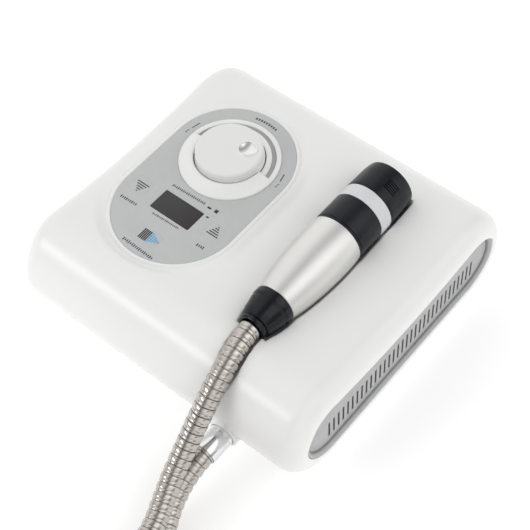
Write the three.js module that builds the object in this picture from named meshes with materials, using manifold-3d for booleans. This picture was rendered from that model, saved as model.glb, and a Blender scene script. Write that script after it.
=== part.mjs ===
// Desktop therapy unit: a glossy wedge-shaped casing with a membrane panel, a large dial, vented
// sides and a cradle that holds a corded handpiece. Millimetres, +Z up.
// X runs to the right seen from the front, Y runs to the back, the origin is on the table under
// the middle of the casing.
import * as THREE from 'three'
import { mergeVertices } from 'three/addons/utils/BufferGeometryUtils.js'
import Module from 'manifold-3d'

const wasm = await Module()
wasm.setup()

// ---------------------------------------------------------------- driving dimensions
const WIDTH = 225 // casing, X
const DEPTH = 219 // casing, Y
const GAP = 0.3 // running gap between neighbouring pieces
const FOOT_HEIGHT = 3
const SPLIT_Z = 13 // parting plane between the two shells
const WALL = 2.6
const EDGE_RADIUS = 13 // rounding of the casing's left and right ends
const BACK = DEPTH / 2
const SIDE = WIDTH / 2
const PROFILE_POINTS = 42

// The top dips along Y like a shallow saddle: z = DISH_LOW + DISH_RISE * ((y - DISH_Y) / DISH_SPAN)^2
const DISH_LOW = 71.6
const DISH_RISE = 5.76
const DISH_Y = 10
const DISH_SPAN = 80
const TOP_FRONT_Y = -72 // the dish ends here and the front curve begins
const TOP_BACK_Y = 66.3
const FRONT_RADIUS = 39.2 // lower front rounding

// side openings and their vent panels
const OPENING_LOW_Z = 17.8
const OPENING_DROP = 12.9 // from the top surface down to the opening
const PANEL_RECESS = 3.1
const PANEL_FLOOR = 2.2
const SLOT_COUNT = 33
const SLOT_FIRST_Y = -71.35
const SLOT_PITCH = 4.583
const SLOT_WIDTH = 1.8
const SLOT_LOW_Z = 26.5
const SLOT_HIGH_Z = 42.3

// control panel
const PANEL_X = -48
const PANEL_RADIUS = 43
const PANEL_FRONT_Y = -22.8
const PANEL_BACK_Y = 27.4
const LIP = 2.4 // moulded rim round the membrane
const PAD_Z = 74 // top of the rim
const SEAT_Z = 73.2 // seat of the membrane, inside the rim
const MEMBRANE = 0.6
const DIAL_Y = 27.2
const DIAL_TOP_Z = 84.5
const DIAL_RADIUS = 22.3
const BEZEL_RADIUS = 33.4
const BEZEL_INNER = 23.5
const SHAFT_RADIUS = 3
const DISPLAY = { x: -48, y: -24.4, width: 31.6, depth: 16.3 }
const BOARD_Z = 60
const BOARD_THICK = 1.6
const KEYS = {
  down: { x: -79, y: -23.3, width: 13, depth: 12 },
  up: { x: -17.6, y: -23.8, width: 13, depth: 12 },
  start: { x: -47.6, y: -51, width: 15, depth: 11 },
  pulse: { x: -30.6, y: -11.2, width: 12, depth: 6 },
}
const KEY_TRAVEL = 0.4

// handpiece, lying along Y in its cradle
const HAND_X = 47.4
const HAND_Z = 79
const CRADLE_CLEARANCE = 0.5
const CRADLE_STRETCH = 1.05 // the trough is a little wider than the handpiece
const CRADLE_WALL = 2.6
const CHANNEL_RADIUS = 8.1 // the groove that the hose leaves the cradle by

// hose
const HOSE_DIAMETER = 14
const SOCKET_X = 57.5
const SOCKET_Z = 24
const FERRULE_RADIUS = 8.1
const COIL_RADIUS = 74 // to the middle of the turns
const COIL_CENTRE = [106.2, -286.9]

// rear power inlet
const INLET_X = -60
const INLET_Z = 36
const REAR_FACE_Y = 104
const SWITCH_X = -20

// ---------------------------------------------------------------- materials
const material = (color, roughness, metalness = 0) =>
  new THREE.MeshStandardMaterial({ color, roughness, metalness })
const whiteGloss = material(0xeceae6, 0.25)
const greyPanel = material(0xb4b6b8, 0.5)
const silverFilm = material(0xb9bdbf, 0.45, 0.2)
const blackPlastic = material(0x202226, 0.4)
const satinMetal = material(0xc9c5bb, 0.3, 1)
const chrome = material(0xd9d9d6, 0.12, 1)
const steel = material(0xa9a9a6, 0.35, 1)
const rubber = material(0x2a2a2a, 0.8)
const smokedLens = material(0x3b3739, 0.15)
const frosted = material(0xcfd4da, 0.35)
const boardGreen = material(0x1f5a3a, 0.6)
const darkPlastic = material(0x3a3c3e, 0.55)

// ---------------------------------------------------------------- solids and meshes
// Turns a closed BufferGeometry into a manifold-3d solid with its faces pointing out.
function solid(geometry) {
  const plain = geometry.clone()
  for (const name of Object.keys(plain.attributes)) {
    if (name !== 'position') plain.deleteAttribute(name)
  }
  const merged = mergeVertices(plain, 1e-4)
  const points = Float32Array.from(merged.attributes.position.array)
  const corner = (i) => new THREE.Vector3(points[3 * i], points[3 * i + 1], points[3 * i + 2])
  const triangles = []
  let volume = 0
  for (let i = 0; i < merged.index.count; i += 3) {
    const [a, b, c] = [0, 1, 2].map((k) => merged.index.getX(i + k))
    if (a === b || b === c || c === a) continue
    triangles.push([a, b, c])
    volume += corner(a).dot(corner(b).cross(corner(c)))
  }
  const facing = volume < 0 ? triangles.map(([a, b, c]) => [a, c, b]) : triangles
  const triVerts = Uint32Array.from(facing.flat())
  return new wasm.Manifold(new wasm.Mesh({ numProp: 3, vertProperties: points, triVerts }))
}

function geometryOf(shape) {
  const { vertProperties, triVerts } = shape.getMesh()
  const geometry = new THREE.BufferGeometry()
  geometry.setAttribute('position', new THREE.BufferAttribute(vertProperties, 3))
  geometry.setIndex(new THREE.BufferAttribute(triVerts, 1))
  geometry.computeVertexNormals()
  return geometry
}

const unit = new THREE.Group()

function add(name, shape, look, parent = unit) {
  const geometry = shape instanceof THREE.BufferGeometry ? geometryOf(solid(shape)) : geometryOf(shape)
  const mesh = new THREE.Mesh(geometry, look)
  mesh.name = name
  parent.add(mesh)
  return mesh
}

const union = (...shapes) => shapes.reduce((whole, next) => whole.add(next))
const cut = (shape, ...tools) => tools.reduce((left, tool) => left.subtract(tool), shape)

// A box between two corners.
function box(low, high) {
  const size = high.map((v, i) => v - low[i])
  const geometry = new THREE.BoxGeometry(...size)
  geometry.translate(...low.map((v, i) => v + size[i] / 2))
  return solid(geometry)
}

// A solid of revolution about the Y axis, from [radius, y] points.
function turned(points, segments = 28) {
  const profile = points.map(([r, y]) => new THREE.Vector2(Math.max(r, 0), y))
  const open = points[0][0] > 0 || points[points.length - 1][0] > 0
  if (open) profile.push(profile[0].clone())
  return new THREE.LatheGeometry(profile, segments)
}

const turnedX = (points, segments) => solid(turned(points, segments).rotateZ(-Math.PI / 2))
const turnedY = (points, segments) => solid(turned(points, segments))
const turnedZ = (points, segments) => solid(turned(points, segments).rotateX(Math.PI / 2))

const rod = (radius, low, high) => [[0, low], [radius, low], [radius, high], [0, high]]
const pipe = (inner, outer, low, high) => [[inner, low], [outer, low], [outer, high], [inner, high]]

// A prism whose outline lies in the XY plane, between two heights.
function prismZ(outline, low, high) {
  const shape = new THREE.Shape(outline.map(([x, y]) => new THREE.Vector2(x, y)))
  const geometry = new THREE.ExtrudeGeometry(shape, { depth: high - low, bevelEnabled: false })
  return solid(geometry.translate(0, 0, low))
}

// A prism whose outline is given as [y, z], between two X positions.
function prismX(outline, low, high) {
  const turn = new THREE.Matrix4().makeBasis(
    new THREE.Vector3(0, 1, 0), new THREE.Vector3(0, 0, 1), new THREE.Vector3(1, 0, 0))
  const shape = new THREE.Shape(outline.map(([y, z]) => new THREE.Vector2(y, z)))
  const geometry = new THREE.ExtrudeGeometry(shape, { depth: high - low, bevelEnabled: false })
  return solid(geometry.applyMatrix4(turn).translate(low, 0, 0))
}

// Moves every corner of a closed outline along its own normal; positive is inward.
function inset(outline, distance) {
  const count = outline.length
  let area = 0
  for (let i = 0; i < count; i++) {
    const [a, b] = [outline[i], outline[(i + 1) % count]]
    area += a[0] * b[1] - b[0] * a[1]
  }
  const side = Math.sign(area)
  return outline.map(([u, v], i) => {
    const before = outline[(i + count - 1) % count]
    const after = outline[(i + 1) % count]
    const along = new THREE.Vector2(after[0] - before[0], after[1] - before[1]).normalize()
    return [u - side * along.y * distance, v + side * along.x * distance]
  })
}

function stadium(x, lowY, highY, radius, segments = 15) {
  const path = new THREE.Path()
  path.absarc(x, highY, radius, 0, Math.PI, false)
  path.absarc(x, lowY, radius, Math.PI, 2 * Math.PI, false)
  return path.getPoints(segments).slice(0, -1).map((p) => [p.x, p.y])
}

function roundedRect(x, y, width, depth, radius, segments = 3) {
  const path = new THREE.Path()
  const [w, d] = [width / 2 - radius, depth / 2 - radius]
  path.absarc(x + w, y + d, radius, 0, Math.PI / 2, false)
  path.absarc(x - w, y + d, radius, Math.PI / 2, Math.PI, false)
  path.absarc(x - w, y - d, radius, Math.PI, 1.5 * Math.PI, false)
  path.absarc(x + w, y - d, radius, 1.5 * Math.PI, 2 * Math.PI, false)
  const points = path.getPoints(segments).map((p) => [p.x, p.y])
  return points.filter(([px, py], i) => {
    const [qx, qy] = points[(i + 1) % points.length]
    return Math.hypot(px - qx, py - qy) > 1e-6
  })
}

function ringSector(x, y, inner, outer, from, to, segments = 18) {
  const path = new THREE.Path()
  path.absarc(x, y, outer, from, to, false)
  path.absarc(x, y, inner, to, from, true)
  return path.getPoints(segments).map((p) => [p.x, p.y])
}

// A tube along a list of points.
function tube(points, diameter, steps, sides = 10) {
  const curve = new THREE.CatmullRomCurve3(points.map((p) => new THREE.Vector3(...p)))
  const corner = (i) => (i / sides) * 2 * Math.PI
  const ring = Array.from({ length: sides }, (_, i) =>
    new THREE.Vector2(Math.cos(corner(i)) * diameter / 2, Math.sin(corner(i)) * diameter / 2))
  return new THREE.ExtrudeGeometry(new THREE.Shape(ring), { steps, extrudePath: curve })
}

// ---------------------------------------------------------------- casing
const dish = (y) => DISH_LOW + DISH_RISE * ((y - DISH_Y) / DISH_SPAN) ** 2
const dishSlope = (y) => 2 * DISH_RISE * (y - DISH_Y) / DISH_SPAN ** 2

// Control point of the quadratic curve that follows the dish between two positions.
function dishControl(from, to, drop = 0) {
  const middle = (from + to) / 2
  return [middle, dish(from) - drop + dishSlope(from) * (middle - from)]
}

// Outline of the casing seen from the side, as [y, z].
function casingProfile() {
  const low = FOOT_HEIGHT
  const path = new THREE.Path()
  const arcY = FRONT_RADIUS - BACK
  path.moveTo(83.3, low)
  path.lineTo(arcY, low)
  path.absarc(arcY, low + FRONT_RADIUS, FRONT_RADIUS, -Math.PI / 2, -Math.PI, true)
  path.bezierCurveTo(-BACK, 45.2, -99.5, 81.7, TOP_FRONT_Y, dish(TOP_FRONT_Y))
  path.quadraticCurveTo(...dishControl(TOP_FRONT_Y, TOP_BACK_Y), TOP_BACK_Y, dish(TOP_BACK_Y))
  path.bezierCurveTo(95.2, dish(TOP_BACK_Y) + 2.9, BACK, 56.3, BACK, 35.5)
  path.bezierCurveTo(BACK, 20.3, 93.8, low, 83.3, low)
  return path.getSpacedPoints(PROFILE_POINTS).slice(1).reverse().map((p) => [p.x, p.y])
}

// Outline of the side openings, as [y, z].
function openingProfile() {
  const path = new THREE.Path()
  const [frontY, backY, corner] = [-94.7, 94.6, 24.4]
  const [topFront, topBack] = [-70.3, 77.3]
  const high = (y) => dish(y) - OPENING_DROP
  path.moveTo(68, OPENING_LOW_Z)
  path.lineTo(frontY + corner, OPENING_LOW_Z)
  path.absarc(frontY + corner, OPENING_LOW_Z + corner, corner, -Math.PI / 2, -Math.PI, true)
  path.bezierCurveTo(frontY, 54, -88, high(topFront), topFront, high(topFront))
  path.quadraticCurveTo(...dishControl(topFront, topBack, OPENING_DROP), topBack, high(topBack))
  path.bezierCurveTo(88, high(topBack), backY, 53.4, backY, 39)
  path.bezierCurveTo(backY, 26, 82, OPENING_LOW_Z, 68, OPENING_LOW_Z)
  return path.getSpacedPoints(36).slice(0, -1).map((p) => [p.x, p.y])
}

// The casing's outer form, or the same form moved in by a wall thickness.
function casingForm(thickness) {
  const outline = casingProfile()
  const radius = EDGE_RADIUS - thickness
  const turns = [90, 60, 30, 0].map((d) => THREE.MathUtils.degToRad(d))
  const stations = [
    ...turns.map((t) => [-(SIDE - EDGE_RADIUS + radius * Math.sin(t)), t]),
    ...turns.reverse().map((t) => [SIDE - EDGE_RADIUS + radius * Math.sin(t), t]),
  ]
  const points = []
  for (const [x, t] of stations) {
    for (const [y, z] of inset(outline, EDGE_RADIUS - radius * Math.cos(t))) points.push(x, y, z)
  }
  const count = outline.length
  const index = []
  for (let s = 0; s + 1 < stations.length; s++) {
    for (let i = 0; i < count; i++) {
      const [a, b] = [s * count + i, s * count + (i + 1) % count]
      index.push(a, b, b + count, a, b + count, a + count)
    }
  }
  const flat = inset(outline, EDGE_RADIUS).map(([y, z]) => new THREE.Vector2(y, z))
  const last = (stations.length - 1) * count
  for (const [a, b, c] of THREE.ShapeUtils.triangulateShape(flat, [])) {
    index.push(c, b, a, last + a, last + b, last + c)
  }
  const geometry = new THREE.BufferGeometry()
  geometry.setAttribute('position', new THREE.Float32BufferAttribute(points, 3))
  geometry.setIndex(index)
  return solid(geometry)
}

// Half-profile of the handpiece as [radius, y], grown by a clearance.
const CRADLE_OUTLINE = [
  [10.3, -65.6], [11.1, -62], [12.4, -58], [13.2, -54], [13.8, -50.2], [14.2, -43], [15.9, -34], [17.4, -22],
  [18.3, -10], [18.7, 2], [18.5, 14], [18.1, 30], [18.1, 50], [17.7, 68], [17.1, 71],
]

function cradleForm(clearance) {
  const [front, back] = [CRADLE_OUTLINE[0][1] - clearance, CRADLE_OUTLINE.at(-1)[1] + clearance]
  const wall = CRADLE_OUTLINE.map(([r, y], i) => {
    if (i === 0) return [r + clearance, front]
    return [r + clearance, i === CRADLE_OUTLINE.length - 1 ? back : y]
  })
  return turnedY([[0, front], ...wall, [0, back]], 28)
}

// The trough that the handpiece lies in.
const trough = (clearance) =>
  cradleForm(clearance).scale([CRADLE_STRETCH, 1, 1]).translate([HAND_X, 0, HAND_Z])

// Route of the hose from the handpiece to the coil, and from the socket to the coil.
const HOSE_FROM_HANDPIECE = [
  [47.4, -65.9, 79], [47.5, -70, 79], [48.2, -75, 78.8], [49.3, -84, 77.4], [50.4, -92.7, 74.7],
  [51.2, -101, 70.7], [51.7, -108.5, 65.5], [51.9, -115.3, 59.3], [51.9, -121.8, 52.7], [52.1, -128.4, 46.3],
  [52.7, -135.4, 40.4], [53.8, -143, 35.4], [55.3, -151.1, 31.4], [57.6, -159.1, 28.1],
  [60.3, -167.1, 25.3], [63.1, -175.3, 23.2], [65.2, -183.8, 22], [66, -192.6, 21.4],
  [65.6, -201.5, 21], [63.8, -210.2, 21],
]
const HOSE_FROM_SOCKET = [
  [57.5, -111, 24], [57.5, -119, 24], [57.5, -127, 23.6], [57.4, -134.8, 22], [57.3, -142.7, 19.1],
  [57.9, -150.3, 15.6], [59.6, -158.1, 12.5], [62.3, -165.8, 9.9], [66, -173.3, 8.2], [70.5, -180.5, 7.3],
  [76, -187.1, 7.1], [82.3, -192.9, 7.1], [89.3, -197.8, 7.1], [93, -199.9, 7.1],
]

const POSTS = [[-96, -66], [96, -66], [-96, 66], [96, 66]]
const SUPPLY_POSTS = [[-80, 22], [-16, 22], [-80, 74], [-16, 74]]
const BOARD_POSTS = [[-84, 30], [-12, 30], [-78, -44], [-18, -44]]

function buildCasing() {
  const outer = casingForm(0)
  const inner = casingForm(WALL)
  const membraneOutline = stadium(PANEL_X, PANEL_FRONT_Y, PANEL_BACK_Y, PANEL_RADIUS)
  const rimOutline = stadium(PANEL_X, PANEL_FRONT_Y, PANEL_BACK_Y, PANEL_RADIUS + LIP)
  const opening = openingProfile()
  const channel = (radius) => solid(tube(
    [[HAND_X, -60, HAND_Z], ...HOSE_FROM_HANDPIECE.slice(2, 9)], 2 * radius, 14, 14))

  const cradleBody = trough(CRADLE_CLEARANCE + CRADLE_WALL)
    .add(channel(CHANNEL_RADIUS + CRADLE_WALL)).intersect(outer)
  const pad = prismZ(rimOutline, SEAT_Z - 2.4, PAD_Z)
  const rearBoss = box([-83, 99, 18], [-9, 107, 54]).intersect(outer)
  const socketBoss = turnedY(rod(15, -108, -99), 20).translate([SOCKET_X, 0, SOCKET_Z]).intersect(outer)
  const posts = POSTS.map(([x, y]) => turnedZ(rod(5, SPLIT_Z, 80), 16).translate([x, y, 0]).intersect(outer))
  const boardPosts = BOARD_POSTS.map(([x, y]) =>
    turnedZ(rod(3, BOARD_Z + BOARD_THICK + GAP, SEAT_Z - 1), 12).translate([x, y, 0]))

  let shell = union(outer.subtract(inner), cradleBody, pad, rearBoss, socketBoss, ...posts, ...boardPosts)
  shell = cut(shell,
    trough(CRADLE_CLEARANCE),
    channel(CHANNEL_RADIUS),
    prismZ(inset(membraneOutline, -GAP), SEAT_Z, 90),
    prismZ(rimOutline, PAD_Z, 90),
    prismX(opening, SIDE - 8, SIDE + 2),
    prismX(opening, -SIDE - 2, 8 - SIDE),
    box([-81, REAR_FACE_Y, 20], [-11, 120, 52]),
    box([INLET_X - 13.8, 90, INLET_Z - 10.3], [INLET_X + 27.8, 120, INLET_Z + 10.3]),
    box([SWITCH_X - 6.8, 90, INLET_Z - 9.8], [SWITCH_X + 6.8, 120, INLET_Z + 9.8]),
    turnedY(rod(10.4, -130, -90), 24).translate([SOCKET_X, 0, SOCKET_Z]),
    turnedZ(rod(5.4, 60, 90), 20).translate([PANEL_X, DIAL_Y, 0]),
    prismZ(roundedRect(DISPLAY.x, DISPLAY.y, DISPLAY.width + 1, DISPLAY.depth + 1, 1), 60, 90),
    prismZ(ringSector(PANEL_X, DIAL_Y, 26.6, 30.4, 0.06, Math.PI - 0.06), 60, 90),
    ...Object.values(KEYS).map(({ x, y }) => turnedZ(rod(2.2, 60, 90), 12).translate([x, y, 0])),
    ...POSTS.map(([x, y]) => turnedZ(rod(1.6, 0, 32), 10).translate([x, y, 0])))

  const topHalf = box([-200, -200, SPLIT_Z + GAP / 2], [200, 200, 100])
  add('top_shell', shell.intersect(topHalf), whiteGloss)

  const basePosts = [
    ...POSTS.map(([x, y]) => turnedZ(rod(5, FOOT_HEIGHT, 20), 16).translate([x, y, 0])),
    ...SUPPLY_POSTS.map(([x, y]) => turnedZ(rod(3, FOOT_HEIGHT, 11.7), 12).translate([x, y, 0])),
  ]
  let base = union(outer.subtract(inner), ...basePosts.map((post) => post.intersect(outer)))
  base = cut(base,
    ...POSTS.flatMap(([x, y]) => [
      turnedZ(rod(1.6, 0, 30), 10).translate([x, y, 0]),
      turnedZ(rod(3.4, 0, 6.4), 14).translate([x, y, 0]),
    ]))
  base = base.intersect(box([-200, -200, 0], [200, 200, SPLIT_Z - GAP / 2]))
  add('base_shell', base, whiteGloss)

  POSTS.forEach(([x, y], i) => {
    const screw = turnedZ([[0, 3.8], [3, 3.8], [3, 6], [1.3, 6], [1.3, 28], [0, 28]], 12)
    add(`case_screw_${i + 1}`, screw.translate([x, y, 0]), steel)
    const foot = turnedZ([[0, 0], [7.4, 0], [8, 0.8], [8, FOOT_HEIGHT - GAP], [0, FOOT_HEIGHT - GAP]], 20)
    add(`foot_${i + 1}`, foot.translate([x * 0.84, y * 0.98, 0]), rubber)
  })
}

// One vented side panel: a shallow tray whose rim lines the opening, with a flange behind the wall.
function buildVentPanel(name, side) {
  const opening = openingProfile()
  const front = SIDE - PANEL_RECESS
  const back = front - PANEL_FLOOR
  const ends = (low, high) => (side > 0 ? [low, high] : [-high, -low])
  const flange = prismX(inset(opening, -2), ...ends(back, back + 1.6))
  const rim = prismX(inset(opening, GAP), ...ends(back, SIDE - GAP))
  const pocket = prismX(inset(opening, GAP + 2.3), ...ends(front, SIDE + 2))
  const slots = Array.from({ length: SLOT_COUNT }, (_, i) => {
    const y = SLOT_FIRST_Y + i * SLOT_PITCH
    const [low, high] = ends(back - 1, front + 1)
    return box([low, y - SLOT_WIDTH / 2, SLOT_LOW_Z], [high, y + SLOT_WIDTH / 2, SLOT_HIGH_Z])
  })
  add(name, cut(flange.add(rim), pocket, ...slots), greyPanel)
}

// ---------------------------------------------------------------- control panel
function buildControlPanel() {
  const seat = SEAT_Z + GAP
  const membraneTop = seat + MEMBRANE
  const membraneOutline = stadium(PANEL_X, PANEL_FRONT_Y, PANEL_BACK_Y, PANEL_RADIUS)
  const keyOutline = ({ x, y, width, depth }, grow = 0) =>
    roundedRect(x, y, width + 2 * grow, depth + 2 * grow, 2 + grow)
  const windowOutline = (grow) =>
    roundedRect(DISPLAY.x, DISPLAY.y, DISPLAY.width + 2 * grow, DISPLAY.depth + 2 * grow, 0.8)

  const membrane = cut(prismZ(membraneOutline, seat, membraneTop),
    turnedZ(rod(BEZEL_RADIUS + GAP + 0.2, 70, 80), 36).translate([PANEL_X, DIAL_Y, 0]),
    prismZ(windowOutline(GAP), 70, 80),
    ...Object.values(KEYS).map((key) => prismZ(keyOutline(key, GAP), 70, 80)))
  add('membrane_panel', membrane, silverFilm)

  const lens = prismZ(windowOutline(0), seat - 1.2, membraneTop + 0.1)
  add('display_window', lens, smokedLens)
  const display = prismZ(windowOutline(-1), BOARD_Z + BOARD_THICK + GAP, seat - 1.5)
  add('display_module', display, darkPlastic)

  for (const [name, key] of Object.entries(KEYS)) {
    const stem = turnedZ(rod(1.6, 69.8, seat + 0.1), 12).translate([key.x, key.y, 0])
    add(`key_${name}`, prismZ(keyOutline(key), seat, membraneTop).add(stem), silverFilm)
    const low = BOARD_Z + BOARD_THICK + GAP
    const contact = turnedZ(rod(1.6, low, 69.8 - KEY_TRAVEL - 0.2), 12)
    const body = box([-3, -3, low], [3, 3, low + 4])
    add(`key_switch_${name}`, body.add(contact).translate([key.x, key.y, 0]), blackPlastic)
  }

  const boardOutline = stadium(PANEL_X, PANEL_FRONT_Y + 4, PANEL_BACK_Y - 4, PANEL_RADIUS - 3, 12)
  add('control_board', prismZ(boardOutline, BOARD_Z, BOARD_Z + BOARD_THICK), boardGreen)
}

function buildDial() {
  const at = (shape) => shape.translate([PANEL_X, DIAL_Y, 0])
  const seat = SEAT_Z + GAP
  // domed ring that rises from the membrane to the knob, open over its back half for the scale
  const dome = [
    [BEZEL_INNER, seat], [BEZEL_RADIUS, seat], [BEZEL_RADIUS, 75], [32.6, 75.7], [30, 76.9],
    [27, 78.2], [24.6, 79], [BEZEL_INNER, 78.9],
  ]
  const window = (inner, outer, low) => prismZ(
    ringSector(0, 0, inner, outer, 0.05, Math.PI - 0.05), low, 90)
  const bezel = cut(turnedZ(dome, 40), window(20, 27, 76.2), window(26.6, 30.4, 70), window(30, 36, 75.4))
  add('dial_bezel', at(bezel), whiteGloss)
  const guide = prismZ(ringSector(0, 0, 26.9, 30.1, 0.07, Math.PI - 0.07), BOARD_Z + 6, 74.6)
  add('scale_light_guide', at(guide), smokedLens)

  const low = BOARD_Z + BOARD_THICK + GAP
  const pot = union(box([-8, -8, low], [8, 8, 69]), turnedZ(rod(4.6, low, 72.4), 18))
  add('dial_potentiometer', at(cut(pot, turnedZ(rod(SHAFT_RADIUS + 0.3, low + 2, 80), 16))), steel)
  add('dial_shaft', at(turnedZ(rod(SHAFT_RADIUS, low + 2.4, 80.4), 16)), steel)

  const knobProfile = [
    [3.3, 81], [3.3, 75.2], [6, 75.2], [6, 81.5], [20.2, 81.5], [20.2, 75.2], [22.9, 75.2],
    [22.6, 82.6], [22.1, 83.9], [21.2, DIAL_TOP_Z], [0, DIAL_TOP_Z], [0, 81],
  ]
  const dimple = solid(new THREE.SphereGeometry(9.6, 20, 14)).translate([9.5, 7.5, DIAL_TOP_Z + 7.8])
  add('dial_knob', at(cut(turnedZ(knobProfile, 36), dimple)), whiteGloss)
}

// ---------------------------------------------------------------- electronics and rear inlet
function rotorBlades(hub, tip, width, count) {
  const half = width / 2
  return Array.from({ length: count }, (_, i) => {
    const blade = new THREE.BoxGeometry(width, 1.2, tip - hub + 1)
    blade.rotateZ(0.6).translate(0, 0, (hub - 1 + tip) / 2)
    blade.rotateX((i / count) * 2 * Math.PI)
    return solid(blade).intersect(turnedX(rod(tip, -half, half), 24))
  })
}

function buildFan(frameName, rotorName, { size, thickness, hub }, place) {
  const half = size / 2
  const edge = thickness / 2
  const bore = half - 1.6
  const square = box([-edge, -half, -half], [edge, half, half])
  const spokes = [0, 1, 2].map((i) => solid(
    new THREE.BoxGeometry(1.6, 2.4, bore).translate(0, 0, bore / 2).rotateX((i / 3) * 2 * Math.PI)
      .translate(1.2 - edge, 0, 0)))
  const stator = turnedX(rod(hub, 0.4 - edge, 2 - edge), 20)
  const frame = union(cut(square, turnedX(rod(bore, -edge - 1, edge + 1), 28)), stator, ...spokes)
  add(frameName, place(frame), blackPlastic)
  const rotorBody = turnedX(rod(hub, 2.4 - edge, edge - 0.6), 20)
  const blades = rotorBlades(hub, bore - 0.8, thickness - 4.4, 7).map((b) => b.translate([1, 0, 0]))
  add(rotorName, place(union(rotorBody, ...blades)), darkPlastic)
}

function buildElectronics() {
  const board = box([-88, 16, 12], [-8, 80, 13.6])
  const transformer = box([-84, 24, 13], [-50, 58, 38])
  const capacitors = [-40, -26].map((x) => turnedZ(rod(6, 13, 32), 14).translate([x, 36, 0]))
  const coolingPlate = box([-44, 62, 13], [-10, 65, 34])
  add('power_supply', union(board, transformer, coolingPlate, ...capacitors), boardGreen)
  buildFan('fan_frame', 'fan_rotor', { size: 50, thickness: 15, hub: 10 },
    (shape) => shape.translate([94, 8, 33]))
}

function buildRearInlet() {
  const z = INLET_Z
  const face = REAR_FACE_Y + GAP
  const flange = box([INLET_X - 16, face, z - 13], [INLET_X + 30, face + 1.6, z + 13])
  const housing = box([INLET_X - 13.4, 78, z - 10], [INLET_X + 27.4, face + 1, z + 10])
  const cavity = box([INLET_X - 11.6, 88, z - 8], [INLET_X + 11.6, 110, z + 8])
  const drawerBay = box([INLET_X + 14.4, 82, z - 8.4], [INLET_X + 26, 110, z + 8.4])
  const blades = [[-7, -2], [0, 2.5], [7, -2]].map(([dx, dz]) =>
    box([INLET_X + dx - 1, 87, z + dz - 2.4], [INLET_X + dx + 1, 100, z + dz + 2.4]))
  add('power_inlet', union(cut(flange.add(housing), cavity, drawerBay), ...blades), blackPlastic)

  const drawerFront = box([INLET_X + 14.7, face - 1, z - 8.1], [INLET_X + 25.7, face + 2.4, z + 8.1])
  const drawerBody = box([INLET_X + 15.2, 83, z - 6], [INLET_X + 25.2, face, z + 6])
  const fuseBed = box([INLET_X + 16.4, 84, z - 3.2], [INLET_X + 24, 105, z + 7])
  add('fuse_drawer', cut(drawerBody, fuseBed).add(drawerFront.subtract(fuseBed)), blackPlastic)
  add('fuse', turnedY(rod(2.6, 84.4, 102.6), 12).translate([INLET_X + 20.2, 0, z]), frosted)

  const bezel = box([SWITCH_X - 8.5, face, z - 11.5], [SWITCH_X + 8.5, face + 1.8, z + 11.5])
  const body = box([SWITCH_X - 6.5, 84, z - 9.5], [SWITCH_X + 6.5, face + 1, z + 9.5])
  const well = box([SWITCH_X - 5.2, 95, z - 8.6], [SWITCH_X + 5.2, 110, z + 8.6])
  add('switch_housing', cut(bezel.add(body), well), blackPlastic)
  // the rocker is a shallow V in section, turned so that its lower half stands out
  const rocker = prismX([[100.4, -7.6], [106.2, -7.6], [104.6, 0], [106.2, 7.6], [100.4, 7.6], [98.4, 0]],
    SWITCH_X - 4.8, SWITCH_X + 4.8)
  add('rocker', rocker.translate([0, -102, 0]).rotate([-7, 0, 0]).translate([0, 102, z]), darkPlastic)
}

// ---------------------------------------------------------------- handpiece
function buildHandpiece() {
  const at = (shape) => shape.translate([HAND_X, 0, HAND_Z])
  const rearCap = [
    [4, -65.5], [8.9, -65.5], [9.5, -63.2], [10.5, -62], [11.7, -58], [12.6, -54], [13.4, -50.8],
    [13.1, -50.2], [13.1, -49.6], [13.9, -47.6], [13.9, -43.7], [11, -43.7], [11, -48], [4, -60],
  ]
  add('handpiece_cap', at(turnedY(rearCap, 24)), blackPlastic)
  const barrel = [
    [13.9, -43.4], [14.5, -40], [15.7, -34], [16.6, -28], [17.3, -22], [17.85, -16], [18.3, -10], [18.65, 2],
    [18.6, 8], [18.1, 16], [16.5, 16], [17, 8], [16.9, -4], [16.2, -16], [15, -28], [12.9, -40], [12.3, -43.4],
  ]
  add('handpiece_barrel', at(turnedY(barrel, 24)), satinMetal)
  add('handpiece_rim', at(turnedY(pipe(16.4, 17.9, 16.3, 17.7), 24)), blackPlastic)
  add('handpiece_band', at(turnedY(pipe(16.2, 18.1, 18, 37.5), 24)), blackPlastic)
  add('light_ring', at(turnedY(pipe(16.2, 18, 37.8, 47.6), 24)), frosted)

  const head = [
    [16.2, 47.9], [18.1, 47.9], [18.1, 56], [17.6, 66], [17.2, 69.4], [16.6, 70.9], [15.6, 70.9], [15.6, 68.6],
    [16, 68],
  ]
  const slits = Array.from({ length: 5 }, (_, i) => {
    const slit = new THREE.BoxGeometry(11, 0.8, 6).translate(0, 0, 17.4)
    return solid(slit).rotate([0, 30, 0]).translate([0, 55.4 + i * 1.57, 0])
  })
  add('head_shell', at(cut(turnedY(head, 24), ...slits)), blackPlastic)
  const plate = [[0, 68.8], [15.2, 68.8], [15.2, 70.5], [14.4, 70.9], [0, 70.9]]
  add('treatment_plate', at(turnedY(plate, 24)), chrome)
  add('cooling_module', at(box([-10, 65.2, -10], [10, 68.5, 10])), frosted)
  const fins = [-9, -6, -3, 0, 3, 6, 9].map((x) => box([x - 0.7, 50.6, -9], [x + 0.7, 62.6, 9]))
  add('heat_sink', at(union(box([-10.5, 62.2, -10.5], [10.5, 64.9, 10.5]), ...fins)), steel)
  const spin = (shape) => at(shape.rotate([0, 0, 90]).translate([0, 32, 0]))
  buildFan('handpiece_fan_frame', 'handpiece_fan_rotor', { size: 21.6, thickness: 10, hub: 4.2 }, spin)
  add('handpiece_board', at(box([-8.5, -36, -0.8], [8.5, 20, 0.8])), boardGreen)
}

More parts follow.
